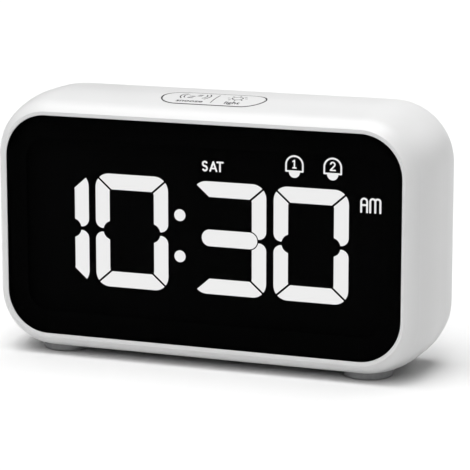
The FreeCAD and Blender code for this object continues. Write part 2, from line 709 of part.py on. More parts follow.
def screw(head_centre, shank_direction, size):
    """A pan-head screw with a cross recess: head_centre is where the head meets what it clamps."""
    head_radius, head_height, shank_radius, shank_length = size
    head = Part.makeCylinder(head_radius, head_height, head_centre, shank_direction * -1)
    top = [edge for edge in head.Edges
           if edge.Closed and edge.CenterOfMass.distanceToPoint(head_centre) > head_height / 2]
    head = head.makeFillet(head_height * 0.4, top)
    shank = Part.makeCylinder(shank_radius, shank_length, head_centre, shank_direction)
    slot_half, slot_width = head_radius * 0.62, head_radius * 0.26
    start = head_centre - shank_direction * (head_height * 0.45)
    outwards = FreeCAD.Placement(start, FreeCAD.Rotation(Vector(0, 0, 1), shank_direction * -1))
    for turn in (0, 90):
        slot = Part.makeBox(2 * slot_half, slot_width, head_height)
        slot.translate(Vector(-slot_half, -slot_width / 2, 0))
        slot.rotate(Vector(0, 0, 0), Vector(0, 0, 1), turn)
        slot.Placement = outwards.multiply(slot.Placement)
        head = head.cut(slot)
    return join([head, shank])


def make_board_screws():
    return group([screw(at(side * POST_X, BOARD_BACK, level * POST_Z), Vector(0, -1, 0), SMALL_SCREW)
                  for side in (-1, 1) for level in (-1, 1)])


# ---- snooze key ----------------------------------------------------------------------------------
def make_snooze_key():
    """A piece of the body's own crowned top, on a flange that stops it under the shell."""
    inside = bulge(WALL + SNOOZE_FLANGE)
    column = pill_z(SNOOZE_HALF_X, SNOOZE_HALF_Y, SNOOZE_DEPTH, 30, HALF_Z + 1)
    cap = bulge(-SNOOZE_PROUD).cut(inside).common(column)
    top = [edge for edge in cap.Edges if edge.BoundBox.ZMin > MID_Z + 36.4]
    cap = cap.makeFillet(0.25, top)
    collar = pill_z(SNOOZE_HALF_X + SNOOZE_FLANGE, SNOOZE_HALF_Y + SNOOZE_FLANGE, SNOOZE_DEPTH, 30, HALF_Z)
    flange = bulge(WALL + SKIN_GAP).cut(inside).common(collar)
    stem = rod_z(0, SWITCH_DEPTH, 1.8, SNOOZE_STEM_LOW, 36.2)
    rib = block(-12, 12, SWITCH_DEPTH - 0.5, SWITCH_DEPTH + 0.5, 34.7, 36.1)
    return join([cap, flange, stem, rib])


def make_snooze_liner():
    """A thin dark sleeve round the key's opening, its lip just proud of the surface."""
    fitted = SNOOZE_GAP - LINER_FIT
    reach_x, reach_y = SNOOZE_HALF_X + fitted, SNOOZE_HALF_Y + fitted
    outside = pill_z(reach_x, reach_y, SNOOZE_DEPTH, 30, HALF_Z + 1)
    inside = pill_z(reach_x - LINER_THICK, reach_y - LINER_THICK, SNOOZE_DEPTH, 29, HALF_Z + 2)
    return bulge(-LINER_PROUD).cut(bulge(WALL)).common(outside.cut(inside))


def make_snooze_plunger():
    low = SNOOZE_BOARD_TOP + SWITCH_FLOOR + SNOOZE_TRAVEL + PLUNGER_SPARE
    return rod_z(0, SWITCH_DEPTH, PLUNGER_RADIUS, low, SNOOZE_STEM_LOW)


def make_snooze_switch():
    """A square body with a bore that is deep enough for the plunger's whole travel."""
    top = SNOOZE_BOARD_TOP + SWITCH_TALL
    body = block(-SWITCH_HALF, SWITCH_HALF, SWITCH_DEPTH - SWITCH_HALF, SWITCH_DEPTH + SWITCH_HALF,
                 SNOOZE_BOARD_TOP, top)
    return body.cut(rod_z(0, SWITCH_DEPTH, PLUNGER_BORE, SNOOZE_BOARD_TOP + SWITCH_FLOOR, top + 1))


def make_snooze_board():
    board = block(-23, 23, BOARD_BACK + 0.3, SWITCH_DEPTH + 3.9, SNOOZE_BOARD_LOW, SNOOZE_BOARD_TOP)
    holes = [rod_z(side * SNOOZE_POST_X, SWITCH_DEPTH, SMALL_CLEAR, 27, 30) for side in (-1, 1)]
    return board.cut(group(holes))


def make_snooze_screws():
    seats = [at(side * SNOOZE_POST_X, SWITCH_DEPTH, SNOOZE_BOARD_LOW) for side in (-1, 1)]
    return group([screw(seat, Vector(0, 0, 1), SMALL_SCREW) for seat in seats])


# ---- rear cover ----------------------------------------------------------------------------------
def key_places():
    for index, name in enumerate(KEY_NAMES):
        yield name, (index - 2) * KEY_PITCH


def battery_box():
    """The bay's outside, which joins the cover, and its inside, which is cut out."""
    outside = plate(BAY_HALF_X + BAY_WALL, BAY_HALF_Z + BAY_WALL, 1.5, BAY_FLOOR - BAY_WALL, COVER_FRONT,
                    0, BAY_MIDDLE)
    inside = plate(BAY_HALF_X, BAY_HALF_Z, 0.6, BAY_FLOOR, BODY_DEPTH + 1, 0, BAY_MIDDLE)
    return outside, inside


def grille_slots():
    """Level slots that fill a circle over the buzzer."""
    slots = []
    for step in range(-3, 4):
        offset = step * GRILLE_PITCH
        half = math.sqrt(GRILLE_RADIUS ** 2 - offset ** 2)
        slots.append(plate(half, 0.65, 0.649, COVER_FRONT - 1, BODY_DEPTH + 1, BUZZER_X,
                           BUZZER_RISE + offset))
    return slots


def cover_screw_places():
    for side in (-1, 1):
        for level in (-1, 1):
            yield side * COVER_SCREW_X, level * COVER_SCREW_Z


def key_tray():
    """The dish that the keys stand in, and the thicker wall behind it."""
    dish = plate(36.0, 6.0, 5.2, BODY_DEPTH - KEY_TRAY, BODY_DEPTH + 1, 0, KEY_RISE)
    backing = plate(38.5, 7.4, 5.0, BODY_DEPTH - KEY_TRAY - COVER_THICK, COVER_FRONT, 0, KEY_RISE)
    return dish, backing


def rear_cover_panel():
    panel = plate(COVER_HALF_X, COVER_HALF_Z, COVER_CORNER, COVER_FRONT, BODY_DEPTH)
    back_y = at(0, BODY_DEPTH, 0).y
    return panel.makeFillet(0.3, [edge for edge in panel.Edges if edge.BoundBox.YMin > back_y - 0.001])


def rear_cover_cutters():
    cutters = grille_slots()
    cutters.append(rod_y(BUZZER_X, BUZZER_RISE, BUZZER_RADIUS + 0.15, COVER_FRONT - 6, COVER_FRONT))
    for _, x in key_places():
        cutters.append(plate(KEY_HALF_X + KEY_GAP, KEY_HALF_Z + KEY_GAP, KEY_HALF_Z + KEY_GAP - 0.01,
                             BODY_DEPTH - 4, BODY_DEPTH, x, KEY_RISE))
    cutters.append(plate(LATCH_HALF_X + DOOR_GAP, LATCH_HALF_Z + DOOR_GAP, 0.8, COVER_FRONT, BODY_DEPTH + 1,
                         0, BAY_HIGH))
    tab_half = HINGE_TAB_HALF + 0.2
    for side in (-1, 1):
        x = side * HINGE_TAB_X
        cutters.append(block(x - tab_half, x + tab_half, BODY_DEPTH - 4.3, COVER_FRONT,
                             BAY_LOW - BAY_WALL - 1, BAY_LOW + 0.1))
        cutters.append(rod_y(side * KEY_POST_X, KEY_RISE, SMALL_PILOT, BODY_DEPTH - 11, BODY_DEPTH - 4.0))
    for x, rise in cover_screw_places():
        cutters.append(rod_y(x, rise, SCREW_WELL_RADIUS, SCREW_SEAT, BODY_DEPTH + 1))
        cutters.append(rod_y(x, rise, COVER_CLEAR, CUP_FRONT - 1, BODY_DEPTH))
    return cutters


def make_rear_cover():
    box_outside, box_inside = battery_box()
    dish, backing = key_tray()
    solids = [rear_cover_panel(), box_outside, backing]
    solids.append(rod_y(BUZZER_X, BUZZER_RISE, BUZZER_RADIUS + 1.4, COVER_FRONT - 5.0, COVER_FRONT))
    board_seat = BODY_DEPTH - KEY_BOARD_BACK
    for side in (-1, 1):
        solids.append(rod_y(side * KEY_POST_X, KEY_RISE, POST_RADIUS, board_seat, COVER_FRONT))
    for x, rise in cover_screw_places():
        solids.append(rod_y(x, rise, SCREW_WELL_RADIUS + 0.85, CUP_FRONT, COVER_FRONT))
    return join(solids).cut(group([box_inside, dish] + rear_cover_cutters()))


def make_cover_screws():
    return group([screw(at(x, SCREW_SEAT, rise), Vector(0, -1, 0), COVER_SCREW)
                  for x, rise in cover_screw_places()])


def make_key(x):
    """A pill-shaped cap with a flange behind the tray and a stem for its switch."""
    shoulder = BODY_DEPTH - KEY_TRAY - COVER_THICK - SKIN_GAP
    flange_front = shoulder - 0.8
    cap = plate(KEY_HALF_X, KEY_HALF_Z, KEY_HALF_Z - 0.01, shoulder, KEY_BACK, x, KEY_RISE)
    back_y = at(0, KEY_BACK, 0).y
    cap = cap.makeFillet(0.4, [edge for edge in cap.Edges if edge.BoundBox.YMin > back_y - 0.001])
    flange = plate(KEY_HALF_X + KEY_FLANGE, KEY_HALF_Z + KEY_FLANGE, KEY_HALF_Z, flange_front, shoulder,
                   x, KEY_RISE)
    stem = rod_y(x, KEY_RISE, 1.5, BODY_DEPTH - KEY_STEM_DEPTH, flange_front)
    return join([cap, flange, stem])


def key_switch_floor():
    return BODY_DEPTH - KEY_BOARD_BACK + SWITCH_FLOOR


def make_key_plunger(x):
    return rod_y(x, KEY_RISE, PLUNGER_RADIUS, key_switch_floor() + KEY_TRAVEL + 0.2,
                 BODY_DEPTH - KEY_STEM_DEPTH)


def make_key_switches():
    shapes = []
    front = BODY_DEPTH - KEY_BOARD_BACK
    half = SWITCH_HALF - 0.1
    for _, x in key_places():
        body = block(x - half, x + half, front, front + SWITCH_TALL, KEY_RISE - half, KEY_RISE + half)
        shapes.append(body.cut(rod_y(x, KEY_RISE, PLUNGER_BORE, key_switch_floor(), front + SWITCH_TALL + 1)))
    return group(shapes)


def make_key_board():
    back = BODY_DEPTH - KEY_BOARD_BACK
    board = plate(KEY_BOARD_HALF_X, 5.0, 1.0, back - KEY_BOARD_THICK, back, 0, KEY_RISE)
    holes = [rod_y(side * KEY_POST_X, KEY_RISE, SMALL_CLEAR, back - 2, back + 1) for side in (-1, 1)]
    return board.cut(group(holes))


def make_key_board_screws():
    front = BODY_DEPTH - KEY_BOARD_BACK - KEY_BOARD_THICK
    return group([screw(at(side * KEY_POST_X, front, KEY_RISE), Vector(0, 1, 0), SMALL_SCREW)
                  for side in (-1, 1)])


# ---- battery bay ---------------------------------------------------------------------------------
def make_battery_door():
    """Flat lid with a thumb latch at its upper edge and two hinge tabs at its lower edge."""
    lid = plate(BAY_HALF_X - DOOR_GAP, BAY_HALF_Z - DOOR_GAP, 0.8, DOOR_FRONT, BODY_DEPTH, 0, BAY_MIDDLE)
    latch = plate(LATCH_HALF_X, LATCH_HALF_Z, 0.8, DOOR_FRONT, BODY_DEPTH, 0, BAY_HIGH)
    recesses = [plate(4.2, 1.0, 0.9, BODY_DEPTH - 0.8, BODY_DEPTH + 1, 0, BAY_HIGH + 0.6)]
    for step in range(4):
        rise = BAY_HIGH - 3.6 - step * 1.3
        recesses.append(plate(5.0, 0.3, 0.29, BODY_DEPTH - 0.4, BODY_DEPTH + 1, 0, rise))
    door = join([lid, latch]).cut(group(recesses))
    low = BAY_LOW + DOOR_GAP
    tab_front = BODY_DEPTH - 3.2
    tabs = []
    for side in (-1, 1):
        x0, x1 = side * HINGE_TAB_X - HINGE_TAB_HALF, side * HINGE_TAB_X + HINGE_TAB_HALF
        tabs.append(block(x0, x1, tab_front, DOOR_FRONT, low, low + 1.85))
        tabs.append(block(x0, x1, tab_front, COVER_FRONT - SKIN_GAP, low - 1.8, low + 0.1))
    return join([door] + tabs)


def cell_places():
    """Rise of each cell, and +1 where its button end points to +X."""
    for index, way in ((-1, 1), (0, -1), (1, 1)):
        yield BAY_MIDDLE + index * CELL_PITCH, way


def make_battery(rise, way):
    tip = way * NUB_TIP
    shoulder = tip - way * NUB_LENGTH
    tail = shoulder - way * CELL_LENGTH
    x0, x1 = sorted((tail, shoulder))
    body = rod_x(CELL_DEPTH, rise, CELL_RADIUS, x0, x1)
    body = body.makeFillet(0.5, [edge for edge in body.Edges if edge.Closed])
    n0, n1 = sorted((shoulder - way * 0.2, tip))
    return join([body, rod_x(CELL_DEPTH, rise, NUB_RADIUS, n0, n1)])


def contact_plate(rise, way):
    """A square plate against the bay's end wall."""
    x0, x1 = sorted((way * BAY_HALF_X, way * NUB_TIP))
    return block(x0, x1, CELL_DEPTH - CONTACT_HALF, CELL_DEPTH + CONTACT_HALF, rise - CONTACT_HALF,
                 rise + CONTACT_HALF)


def make_positive_contacts():
    return group([contact_plate(rise, way) for rise, way in cell_places()])


def cone_spring(height):
    """A wire wound on a cone, standing on the origin with its wide end down."""
    steps = 8 * SPRING_TURNS
    points = []
    for step in range(steps + 1):
        share = step / steps
        angle = 2 * math.pi * SPRING_TURNS * share
        radius = SPRING_WIDE + (SPRING_NARROW - SPRING_WIDE) * share
        points.append(Vector(radius * math.cos(angle), radius * math.sin(angle), height * share))
    line = Part.BSplineCurve()
    line.interpolate(points)
    heading = line.tangent(line.FirstParameter)[0]
    section = Part.Wire(Part.makeCircle(SPRING_WIRE, points[0], heading))
    return Part.Wire(line.toShape()).makePipeShell([section], True, True)


def make_spring_contacts():
    """Each is a plate with a conical wire spring that presses on the cell's flat end."""
    shapes = []
    gap = 2 * NUB_TIP - NUB_LENGTH - CELL_LENGTH
    clear = SPRING_WIRE + 0.08
    coil = cone_spring(gap - 2 * clear)
    for rise, way in cell_places():
        placed = coil.copy()
        turn = FreeCAD.Rotation(Vector(0, 0, 1), Vector(way, 0, 0))
        placed.Placement = FreeCAD.Placement(at(way * (clear - NUB_TIP), CELL_DEPTH, rise), turn)
        shapes += [contact_plate(rise, -way), placed]
    return group(shapes)


# ---- buzzer and wiring ---------------------------------------------------------------------------
def make_buzzer():
    """A round case with one sound hole that faces the grille."""
    can = rod_y(BUZZER_X, BUZZER_RISE, BUZZER_RADIUS, BUZZER_FRONT, BUZZER_FRONT + BUZZER_TALL)
    return can.cut(rod_y(BUZZER_X, BUZZER_RISE, 1.6, COVER_FRONT - 1.5, COVER_FRONT))


def bent_path(x, start, end):
    """Out along the depth, across and on again, with arcs of 0.45 of the middle run at both bends."""
    (d0, z0), (d1, z1) = start, end
    middle = (d0 + d1) / 2
    radius = 0.45 * abs(z1 - z0)
    ahead = math.copysign(1.0, d1 - d0)
    up = math.copysign(1.0, z1 - z0)
    bend = radius * (1 - math.sqrt(0.5))
    first = [at(x, middle - ahead * radius, z0), at(x, middle - ahead * bend, z0 + up * bend),
             at(x, middle, z0 + up * radius)]
    second = [at(x, middle, z1 - up * radius), at(x, middle + ahead * bend, z1 - up * bend),
              at(x, middle + ahead * radius, z1)]
    edges = [Part.LineSegment(at(x, d0, z0), first[0]).toShape(), Part.Arc(*first).toShape(),
             Part.LineSegment(first[2], second[0]).toShape(), Part.Arc(*second).toShape(),
             Part.LineSegment(second[2], at(x, d1, z1)).toShape()]
    return Part.Wire(edges)


def lead(x, start, end):
    path = bent_path(x, start, end)
    section = Part.Wire(Part.makeCircle(LEAD_RADIUS, at(x, *start), Vector(0, 1, 0)))
    return path.makePipeShell([section], True, False)


def make_buzzer_leads():
    return group([lead(BUZZER_X - offset, (BUZZER_FRONT, BUZZER_RISE - 1), (BOARD_BACK, BUZZER_RISE - 6))
                  for offset in (1.2, 3.4)])


def make_battery_leads():
    start = BAY_FLOOR - BAY_WALL
    return group([lead(x, (start, -12.0), (BOARD_BACK, -17.0)) for x in (-22.0, -19.6)])


def flat_section(centre, across, half_width, along):
    """A ribbon's section: a thin rectangle about centre."""
    corners = [centre + across * (a * half_width) + along * (b * RIBBON_HALF_THICK)
               for a, b in ((-1, -1), (1, -1), (1, 1), (-1, 1), (-1, -1))]
    return Part.makePolygon(corners)


def make_key_ribbon():
    x, half_width = 2.0, 5.0
    start = (BODY_DEPTH - KEY_BOARD_BACK - KEY_BOARD_THICK, 17.0)
    section = flat_section(at(x, *start), Vector(1, 0, 0), half_width, Vector(0, 0, 1))
    return bent_path(x, start, (BOARD_BACK, 21.0)).makePipeShell([section], True, False)


def make_snooze_ribbon():
    """From under the snooze board down to the main board's back."""
    x, half_width = -10.0, 3.0
    high, low = SNOOZE_BOARD_LOW, 23.5
    turn = 2.0
    depth = SWITCH_DEPTH - 1.3
    knee = turn * math.sqrt(0.5)
    path = Part.Wire([
        Part.LineSegment(at(x, depth, high), at(x, depth, low + turn)).toShape(),
        Part.Arc(at(x, depth, low + turn), at(x, depth - turn + knee, low + turn - knee),
                 at(x, depth - turn, low)).toShape(),
        Part.LineSegment(at(x, depth - turn, low), at(x, BOARD_BACK, low)).toShape(),
    ])
    section = flat_section(at(x, depth, high), Vector(1, 0, 0), half_width, Vector(0, 1, 0))
    return path.makePipeShell([section], True, False)


# ---- feet ----------------------------------------------------------------------------------------
def make_feet(foot):
    """Two rubber pads set in round recesses, with a rounded lower edge."""
    shapes = []
    for side in (-1, 1):
        pad = rod_z(side * foot["x"], foot["depth"], foot["radius"], -MID_Z, FOOT_TOP - MID_Z)
        low = [edge for edge in pad.Edges if edge.Closed and edge.BoundBox.ZMax < 0.001]
        shapes.append(pad.makeFillet(FOOT_ROUND, low))
    return group(shapes)


# ---- build ---------------------------------------------------------------------------------------
def build():
    nodes = {
        "housing": make_housing(),
        "front_lens": make_lens(),
        "lens_border": make_lens_border(),
        "lens_tape": make_lens_tape(),
        "lit_digits": make_lit_digits(),
        "lit_colon": make_lit_colon(),
        "lit_weekday": make_lit_weekday(),
        "lit_bells": make_lit_bells(),
        "lit_am": make_lit_am(),
        "lcd_front_polariser": make_front_polariser(),
        "lcd_cell": make_lcd_cell(),
        "lcd_rear_polariser": make_rear_polariser(),
        "backlight_diffuser": make_diffuser(),
        "light_guide": make_light_guide(),
        "backlight_reflector": make_reflector(),
        "backlight_leds": make_backlight_leds(),
        "lcd_frame": make_lcd_frame(),
        "contact_strip": make_contact_strip(),
        "main_board": make_main_board(),
        "controller_chip": make_controller_chip(),
        "crystal": make_crystal(),
        "capacitors": make_capacitors(),
        "board_screws": make_board_screws(),
        "snooze_key": make_snooze_key(),
        "snooze_liner": make_snooze_liner(),
        "snooze_plunger": make_snooze_plunger(),
        "snooze_switch": make_snooze_switch(),
        "snooze_board": make_snooze_board(),
        "snooze_board_screws": make_snooze_screws(),
        "snooze_ribbon": make_snooze_ribbon(),
        "rear_cover": make_rear_cover(),
        "cover_screws": make_cover_screws(),
        "key_switches": make_key_switches(),
        "key_board": make_key_board(),
        "key_board_screws": make_key_board_screws(),
        "key_ribbon": make_key_ribbon(),
        "battery_door": make_battery_door(),
        "positive_contacts": make_positive_contacts(),
        "spring_contacts": make_spring_contacts(),
        "battery_leads": make_battery_leads(),
        "buzzer": make_buzzer(),
        "buzzer_leads": make_buzzer_leads(),
        "front_feet": make_feet(FRONT_FOOT),
        "rear_feet": make_feet(REAR_FOOT),
    }
    for name, x in key_places():
        nodes[name] = make_key(x)
        nodes[name.replace("key", "plunger")] = make_key_plunger(x)
    for number, (rise, way) in enumerate(cell_places(), start=1):
        nodes["battery_" + str(number)] = make_battery(rise, way)
    return nodes


os.makedirs("parts", exist_ok=True)
for node_name, shape in build().items():
    if not shape.isValid():
        print("not valid:", node_name)
    shape.exportStep("parts/" + node_name + ".step")
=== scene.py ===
"""Looks for a rounded digital alarm clock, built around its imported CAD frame.

Everything is in metres, in the CAD frame: +X right seen from the display side, +Y to the back, +Z up.
"""

import json
import math

import bmesh
import bpy
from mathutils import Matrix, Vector
from mathutils.bvhtree import BVHTree


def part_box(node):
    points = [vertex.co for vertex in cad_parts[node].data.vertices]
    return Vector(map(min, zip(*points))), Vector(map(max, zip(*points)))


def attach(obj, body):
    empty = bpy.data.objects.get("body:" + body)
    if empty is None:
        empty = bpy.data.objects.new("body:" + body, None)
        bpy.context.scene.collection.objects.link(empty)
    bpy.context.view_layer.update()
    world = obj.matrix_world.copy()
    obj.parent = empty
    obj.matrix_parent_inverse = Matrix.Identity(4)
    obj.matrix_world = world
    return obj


MM = 0.001
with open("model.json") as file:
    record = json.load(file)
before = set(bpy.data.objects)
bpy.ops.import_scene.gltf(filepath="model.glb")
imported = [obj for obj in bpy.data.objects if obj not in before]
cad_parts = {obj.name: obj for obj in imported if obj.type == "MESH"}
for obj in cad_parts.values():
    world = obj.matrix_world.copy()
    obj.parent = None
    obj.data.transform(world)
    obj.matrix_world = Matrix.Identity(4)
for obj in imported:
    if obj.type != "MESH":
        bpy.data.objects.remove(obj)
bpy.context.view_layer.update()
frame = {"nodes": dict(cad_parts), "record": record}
nodes = frame["nodes"]
body_low, body_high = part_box("housing")
front_middle = Vector((0.0, body_low.y, (body_low.z + body_high.z) / 2))

# ---- camera and lights, measured from the middle of the body's front plane --------------------
CAMERA_OFFSET = Vector((0.26073, -0.63663, 0.13652))
AIM_OFFSET = Vector((0.01147, 0.0, 0.00138))
CAMERA_LENS = 185.5
SENSOR_WIDTH = 36.0
FLOOR_HALF = 6.0
WORLD_STRENGTH = 0.13
# Each soft distant light: degrees round from the front to the right, degrees up, degrees wide, strength.
SUNS = {
    "overhead": (0, 90, 50, 1.92),
    "front_high": (0, 68, 45, 0.86),
    "front_mid": (0, 45, 45, 0.78),
    "left_high": (-60, 70, 40, 0.56),
    "right_behind": (150, 20, 30, 0.18),
    "behind_low": (180, 20, 45, 0.30),
}


# ---- material helper -------------------------------------------------------------------------------
# The part of a noise's 0..1 that it mostly stays in, and how many finer layers it has.
NOISE_LOW, NOISE_HIGH = 0.3, 0.7
COARSE_DETAIL, FINE_DETAIL = 2.0, 4.0


class Look:
    """A procedural material on one Principled shader, with noise-driven colour, roughness and bump."""

    def __init__(self, name, colour, roughness, metallic=0.0, specular=0.5):
        self.material = bpy.data.materials.new("look_" + name)
        self.material.use_nodes = True
        self.tree = self.material.node_tree
        self.shader = self.tree.nodes["Principled BSDF"]
        self.colour = colour
        self.roughness = roughness
        self.set("Base Color", (*colour, 1.0))
        self.set("Roughness", roughness)
        self.set("Metallic", metallic)
        self.set("Specular IOR Level", specular)
        self.place = self.tree.nodes.new("ShaderNodeTexCoord").outputs["Object"]

    def set(self, socket, value):
        self.shader.inputs[socket].default_value = value
        return self

    def link(self, source, target):
        self.tree.links.new(source, target)

    def noise(self, size_mm, detail):
        """Noise with features of about size_mm, as a 0..1 output."""
        texture = self.tree.nodes.new("ShaderNodeTexNoise")
        texture.inputs["Scale"].default_value = 1.0 / (size_mm * MM)
        texture.inputs["Detail"].default_value = detail
        self.link(self.place, texture.inputs["Vector"])
        return texture.outputs["Fac"]

    def spread(self, source, low, high, start=NOISE_LOW, stop=NOISE_HIGH):
        """Maps start..stop of an output onto low..high."""
        node = self.tree.nodes.new("ShaderNodeMapRange")
        for socket, value in zip(("From Min", "From Max", "To Min", "To Max"), (start, stop, low, high)):
            node.inputs[socket].default_value = value
        self.link(source, node.inputs["Value"])
        return node.outputs["Result"]

    def ramp(self, source, stops, smooth=False):
        """A colour that steps or fades over an output: stops are (position, colour)."""
        node = self.tree.nodes.new("ShaderNodeValToRGB")
        ramp = node.color_ramp
        ramp.interpolation = "LINEAR" if smooth else "CONSTANT"
        while len(ramp.elements) < len(stops):
            ramp.elements.new(0.5)
        for element, (position, colour) in zip(ramp.elements, stops):
            element.position = position
            element.color = (*colour, 1.0)
        self.link(source, node.inputs["Fac"])
        return node.outputs["Color"]

    def bands(self, source, stops, smooth=False):
        """Colours the base by a ramp over an output: stops are (position, colour)."""
        self.link(self.ramp(source, stops, smooth), self.shader.inputs["Base Color"])
        return self

    def mottle(self, size_mm, amount):
        """Varies the base colour by amount, up and down, in patches of size_mm."""
        dark, light = (tuple(min(1.0, c * (1 + sign * amount)) for c in self.colour) for sign in (-1, 1))
        stops = [(NOISE_LOW, dark), (NOISE_HIGH, light)]
        return self.bands(self.noise(size_mm, COARSE_DETAIL), stops, smooth=True)

    def uneven(self, size_mm, amount):
        """Varies the roughness by amount, up and down."""
        low, high = self.roughness - amount, self.roughness + amount
        level = self.spread(self.noise(size_mm, FINE_DETAIL), low, high)
        self.link(level, self.shader.inputs["Roughness"])
        return self

    def grain(self, size_mm, height_mm):
        """A noise bump of that size and height."""
        node = self.tree.nodes.new("ShaderNodeBump")
        node.inputs["Distance"].default_value = height_mm * MM
        self.link(self.noise(size_mm, COARSE_DETAIL), node.inputs["Height"])
        self.link(node.outputs["Normal"], self.shader.inputs["Normal"])
        return self


# The Mix node's sockets for colours, among those of its other data types.
MIX_FIRST, MIX_SECOND, MIX_RESULT = 6, 7, 2


def inside(look, low, high):
    """1 inside a box given by its corners, 0 outside."""
    split = look.tree.nodes.new("ShaderNodeSeparateXYZ")
    look.link(look.place, split.inputs["Vector"])
    product = None
    for axis, start, stop in zip("XYZ", low, high):
        for operation, limit in (("GREATER_THAN", start), ("LESS_THAN", stop)):
            test = look.tree.nodes.new("ShaderNodeMath")
            test.operation = operation
            test.inputs[1].default_value = limit
            look.link(split.outputs[axis], test.inputs[0])
            if product is None:
                product = test.outputs["Value"]
                continue
            both = look.tree.nodes.new("ShaderNodeMath")
            both.operation = "MULTIPLY"
            look.link(product, both.inputs[0])
            look.link(test.outputs["Value"], both.inputs[1])
            product = both.outputs["Value"]
    return product


def paint_inside(look, low, high, colour):
    """Paints the surface inside a box with another colour, over what it has."""
    under = look.shader.inputs["Base Color"].links[0].from_socket
    mix = look.tree.nodes.new("ShaderNodeMix")
    mix.data_type = "RGBA"
    look.link(inside(look, low, high), mix.inputs["Factor"])
    look.link(under, mix.inputs[MIX_FIRST])
    mix.inputs[MIX_SECOND].default_value = (*colour, 1.0)
    look.link(mix.outputs[MIX_RESULT], look.shader.inputs["Base Color"])


# ---- materials, one for each slot of the record ------------------------------------------------------
# slot: colour, roughness, metallic, mottle (mm, share), grain (mm, height in mm)
FINISHES = {
    "white_shell": ((0.665, 0.665, 0.665), 0.36, 0.0, (25.0, 0.006), (0.30, 0.003)),
    "rear_key_plastic": ((0.63, 0.63, 0.635), 0.40, 0.0, (9.0, 0.008), (0.25, 0.004)),
    "black_print": ((0.001, 0.001, 0.001), 0.85, 0.0, (5.0, 0.1), (0.2, 0.002)),
    "adhesive_foam": ((0.02, 0.02, 0.02), 0.9, 0.0, (2.0, 0.2), (0.3, 0.04)),
    "lcd_black": ((0.001, 0.001, 0.001), 0.7, 0.0, (10.0, 0.1), (0.5, 0.001)),
    "lcd_glass": ((0.03, 0.035, 0.035), 0.1, 0.0, (20.0, 0.05), (5.0, 0.001)),
    "optical_film": ((0.78, 0.79, 0.80), 0.45, 0.0, (15.0, 0.01), (0.4, 0.002)),
    "clear_acrylic": ((0.75, 0.80, 0.80), 0.12, 0.0, (15.0, 0.02), (6.0, 0.002)),
    "led_package": ((0.85, 0.78, 0.35), 0.35, 0.0, (1.0, 0.1), (0.3, 0.003)),
    "frame_plastic": ((0.62, 0.62, 0.60), 0.5, 0.0, (10.0, 0.01), (0.4, 0.005)),
    "contact_rubber": ((0.22, 0.08, 0.10), 0.7, 0.0, (0.4, 0.4), (0.3, 0.01)),
    "chip_resin": ((0.015, 0.015, 0.016), 0.55, 0.0, (1.0, 0.1), (0.15, 0.008)),
    "bright_can": ((0.62, 0.62, 0.63), 0.25, 1.0, (2.0, 0.05), (0.5, 0.003)),
    "capacitor_sleeve": ((0.03, 0.04, 0.14), 0.35, 0.0, (3.0, 0.05), (1.5, 0.004)),
    "screw_steel": ((0.50, 0.50, 0.51), 0.32, 1.0, (1.0, 0.08), (0.25, 0.004)),
    "switch_plastic": ((0.02, 0.02, 0.02), 0.5, 0.0, (2.0, 0.1), (0.3, 0.004)),
    "plunger_plastic": ((0.30, 0.04, 0.03), 0.45, 0.0, (1.5, 0.05), (0.3, 0.003)),
    "ribbon_film": ((0.70, 0.66, 0.55), 0.4, 0.0, (1.0, 0.05), (0.5, 0.006)),
    "nickel_contact": ((0.60, 0.59, 0.56), 0.28, 1.0, (2.5, 0.06), (0.4, 0.003)),
    "lead_insulation": ((0.40, 0.02, 0.02), 0.45, 0.0, (3.0, 0.05), (0.8, 0.006)),
    "buzzer_plastic": ((0.02, 0.02, 0.021), 0.5, 0.0, (3.0, 0.1), (0.3, 0.006)),
    "foot_rubber": ((0.33, 0.33, 0.335), 0.75, 0.0, (1.5, 0.08), (0.25, 0.015)),
    # Painted shade: the liner is a near-black piece in the gap round the snooze key, standing for the shadow
    # in that gap.
    "liner_rubber": ((0.006, 0.006, 0.006), 0.8, 0.0, (1.0, 0.2), (0.25, 0.01)),
}
DULL_SLOTS = ("black_print", "lcd_black", "lcd_glass")
PANE_ALPHA = 0.12
BLACK = (0.001, 0.001, 0.001)
PLAIN_SPECULAR, DULL_SPECULAR = 0.5, 0.02
ROUGHNESS_SWING = 0.03
# Painted shade on the window's inner edge: black where the white ledge would show lit through the pane, well
# inside the pane's outline, from its back to past the ledge.
LEDGE_MARGIN = 3.0 * MM
LENS_DEPTH = 0.6 * MM
LEDGE_REACH = 1.6 * MM
LIT_STRENGTH = 1.1
BOARD_GREENS = {"Color1": (0.015, 0.13, 0.04), "Color2": (0.02, 0.16, 0.05), "Mortar": (0.05, 0.24, 0.08)}
TRACK_SCALE = 160.0
TRACK_WIDTH = 0.03
# A cell along its length: where the sleeve starts, where its bright band starts, and where it ends.
SLEEVE_START, BAND_START, SLEEVE_END = 0.022, 0.74, 0.955
STEEL, SLEEVE_GREEN, BAND_GOLD = (0.55, 0.55, 0.56), (0.03, 0.12, 0.08), (0.75, 0.60, 0.25)
SLEEVE_METALLIC = (0.35, 0.35, 0.35)
WHITE = (1.0, 1.0, 1.0)


def finish_look(slot):
    """The look of a slot from its row of finishes."""
    colour, roughness, metallic, mottle, grain = FINISHES[slot]
    look = Look(slot, colour, roughness, metallic, DULL_SPECULAR if slot in DULL_SLOTS else PLAIN_SPECULAR)
    return look.mottle(*mottle).uneven(mottle[0] / 2, ROUGHNESS_SWING).grain(*grain)


